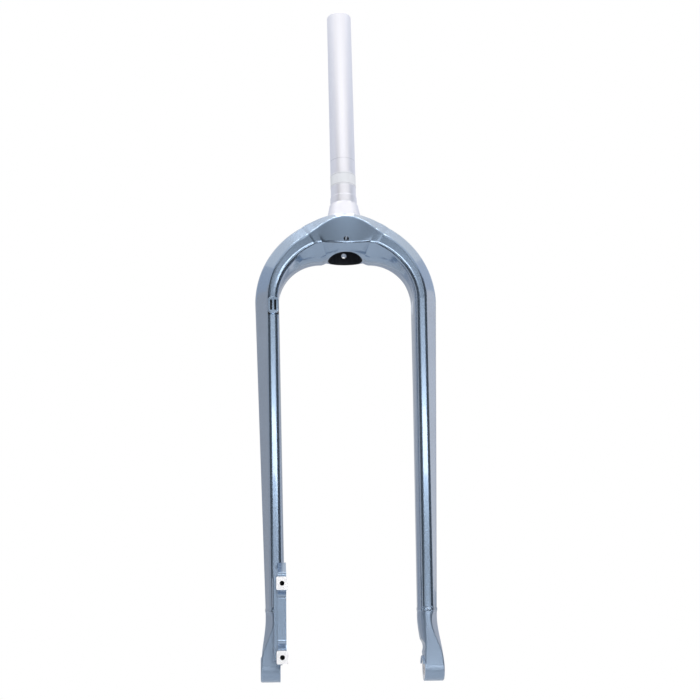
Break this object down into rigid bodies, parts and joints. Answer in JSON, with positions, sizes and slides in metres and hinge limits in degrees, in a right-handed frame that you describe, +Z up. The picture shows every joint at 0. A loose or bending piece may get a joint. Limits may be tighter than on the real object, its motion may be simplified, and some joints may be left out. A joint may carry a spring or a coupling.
{
  "type": "rigid bicycle fork",
  "caption": "Welded aluminium bicycle fork with an arched crown, tapered bent legs, closed thru-axle dropouts and a disc brake post mount on the left leg.",
  "frame": {"origin": "middle of the crown race shoulder, on the steerer axis", "axes": "+Z up the steerer, +Y the way the bicycle travels, +X to the rider's right"},
  "size_m": [0.2016, 0.0945, 0.771],
  "materials": {
    "raw_aluminium": "satin",
    "paint": "gloss"
  },
  "bodies": {
    "root": {"steerer_tube": "raw_aluminium", "steerer_base": "raw_aluminium", "crown": "paint", "left_crown_weld": "paint", "left_leg": "paint", "left_dropout_weld": "paint", "left_dropout": "paint", "right_crown_weld": "paint", "right_leg": "paint", "right_dropout_weld": "paint", "right_dropout": "paint", "brake_mount": "paint", "brake_mount_welds": "paint", "hose_guide": "paint"}
  },
  "joints": []
}
